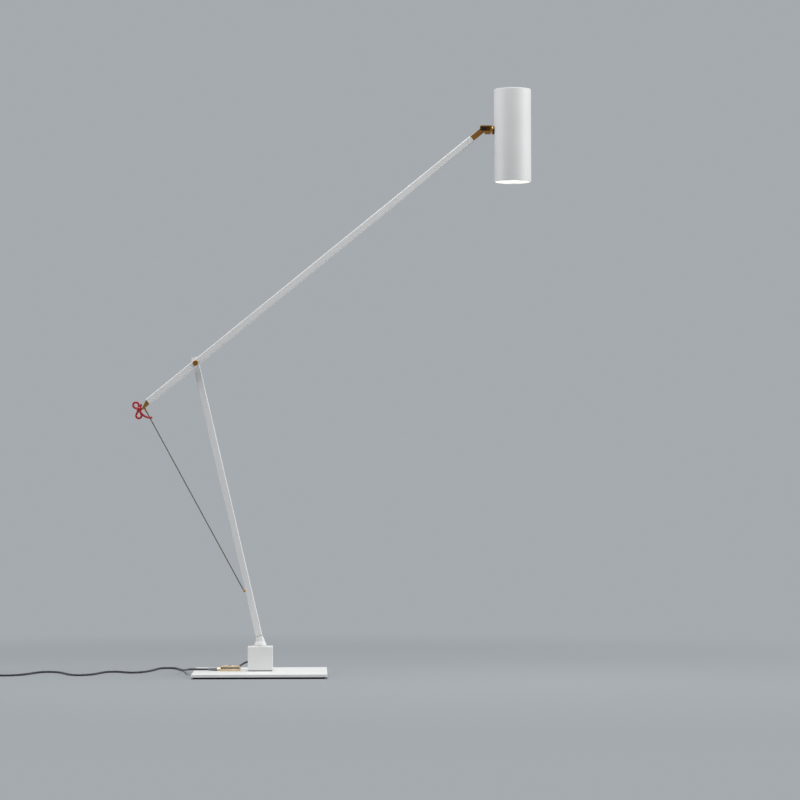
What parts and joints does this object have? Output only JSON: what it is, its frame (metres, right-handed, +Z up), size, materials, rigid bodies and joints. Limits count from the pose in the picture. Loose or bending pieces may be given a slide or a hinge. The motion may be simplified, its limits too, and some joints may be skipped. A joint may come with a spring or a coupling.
{
  "type": "balance desk lamp",
  "caption": "Balance desk lamp: square base plate with cube foot, leaning mast, long balance arm, tension line and cylinder head.",
  "frame": {"origin": "centre of the base pad's underside, on the table", "axes": "+X to the side the lamp head hangs on, +Y to the back, +Z up"},
  "size_m": [0.8596, 0.2938, 0.8819],
  "materials": {
    "pad_rubber": "matt black pad",
    "plate_paint": "white powder coat",
    "spacer_black": "dark grey, matt",
    "cube_paint": "white powder coat",
    "foot_metal": "white satin paint over a turned foot",
    "white_steel": "white satin paint",
    "white_aluminium": "white satin paint",
    "brass": "lacquered, lightly brushed",
    "knuckle_metal": "brass, darker, brushed",
    "dark_steel": "blackened",
    "bright_steel": "zinc plated",
    "line_steel": "fine grey wire rope",
    "black_plastic": "black, matt",
    "bush_plastic": "natural bearing plastic",
    "grey_sleeve": "grey, flexible",
    "cord_sheath": "dark sheath, slightly glossy",
    "wire_insulation": "thin insulated wires",
    "red_gloss": "glossy red",
    "holder_ceramic": "off-white ceramic",
    "lamp_glass": "silvered reflector glass",
    "lens_glass": "frosted front glass, lit"
  },
  "bodies": {
    "base": {"underside_pad": "pad_rubber", "base_plate": "plate_paint", "cube_spacer": "spacer_black", "base_screws": "dark_steel", "cube_housing": "cube_paint", "cube_gland": "black_plastic", "driver_module": "black_plastic", "swivel_bush": "bush_plastic", "dimmer_frame": "brass", "dimmer_core": "black_plastic", "dimmer_collar": "brass", "strain_relief": "grey_sleeve", "jumper_cord": "cord_sheath", "power_cord": "cord_sheath", "cord_coil": "cord_sheath", "cord_tail": "cord_sheath", "coil_tie": "black_plastic", "plug_body": "black_plastic", "plug_pins": "bright_steel"},
    "mast": {"mast_foot": "foot_metal", "thrust_washer": "bush_plastic", "spring_washer": "dark_steel", "swivel_nut": "bright_steel", "mast_tube": "white_steel", "mast_top_cap": "white_steel", "mast_bush": "bush_plastic", "friction_washer": "black_plastic", "mast_wires": "wire_insulation", "line_eyelet": "brass", "balance_line": "line_steel"},
    "arm": {"arm_tube": "white_aluminium", "arm_bush": "bright_steel", "pivot_screw": "brass", "pivot_nut": "brass", "arm_wires": "wire_insulation", "arm_front_tongue": "brass", "arm_rear_tip": "brass", "arm_grub_screws": "dark_steel", "tail_pin": "brass", "line_end_eye": "brass", "red_bow": "red_gloss"},
    "knuckle": {"head_knuckle": "knuckle_metal", "hinge_screw": "dark_steel", "hinge_nut": "dark_steel", "stem_bolt": "bright_steel", "stem_nut": "bright_steel"},
    "head": {"stem_washer": "black_plastic", "stem_backing": "black_plastic", "head_shade": "white_aluminium", "head_top_cap": "white_aluminium", "holder_post": "bright_steel", "lamp_holder": "holder_ceramic", "reflector_lamp": "lamp_glass", "lamp_lens": "lens_glass", "lamp_ring": "white_aluminium"},
    "dimmer_slider": {"dimmer_knob": "brass"}
  },
  "joints": [
    {"name": "mast_swivel", "type": "hinge", "parent": "base", "child": "mast", "pos_m": [0, 0, 0.0446], "axis": [0, 0, 1], "range_deg": [-170, 170]},
    {"name": "arm_pivot", "type": "hinge", "parent": "mast", "child": "arm", "pos_m": [-0.09707, -0.011, 0.46818], "axis": [0, -1, 0], "range_deg": [-25, 20], "deforming": ["balance_line"]},
    {"name": "head_tilt", "type": "hinge", "parent": "arm", "child": "knuckle", "pos_m": [0.3369, -0.011, 0.82212], "axis": [0, 1, 0], "range_deg": [-90, 45]},
    {"name": "head_turn", "type": "hinge", "parent": "knuckle", "child": "head", "pos_m": [0.3503, -0.011, 0.82022], "axis": [1, 0, 0], "range_deg": [-90, 90]},
    {"name": "dimmer_slide", "type": "slide", "parent": "base", "child": "dimmer_slider", "axis": [1, 0, 0], "range_m": [-0.005, 0.005]}
  ]
}
